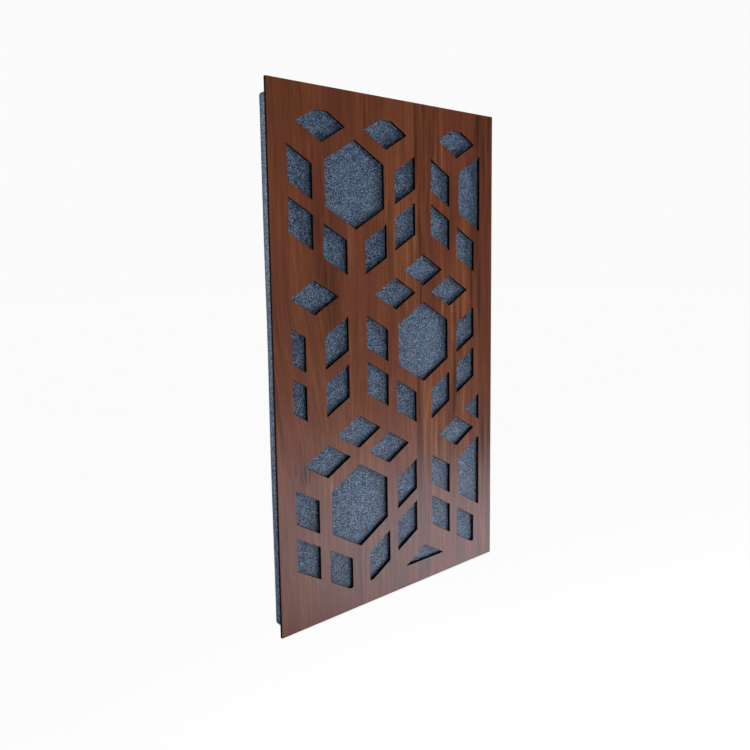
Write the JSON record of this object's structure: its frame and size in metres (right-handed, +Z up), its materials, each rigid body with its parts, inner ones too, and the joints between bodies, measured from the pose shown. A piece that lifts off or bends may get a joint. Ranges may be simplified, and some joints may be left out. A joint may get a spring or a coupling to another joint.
{
  "type": "acoustic wall panel",
  "caption": "Flat wall panel: a thin wood-veneered plate cut with a lattice of hexagons and diamonds, over a fabric-wrapped pad that soaks up sound.",
  "frame": {"origin": "middle of the pad's flat back, where it meets the wall", "axes": "+Y into the wall, +Z up along the panel's height, +X to the right as seen from the room"},
  "size_m": [0.59, 0.0313, 1],
  "materials": {
    "walnut_veneer": "satin lacquered reddish brown veneer with an upright grain, cut edges nearly black",
    "grey_blue_fabric": "matt grey-blue heather cloth with a fine salt-and-pepper weave"
  },
  "bodies": {
    "root": {"face_plate": "walnut_veneer", "absorber_pad": "grey_blue_fabric"}
  },
  "joints": []
}
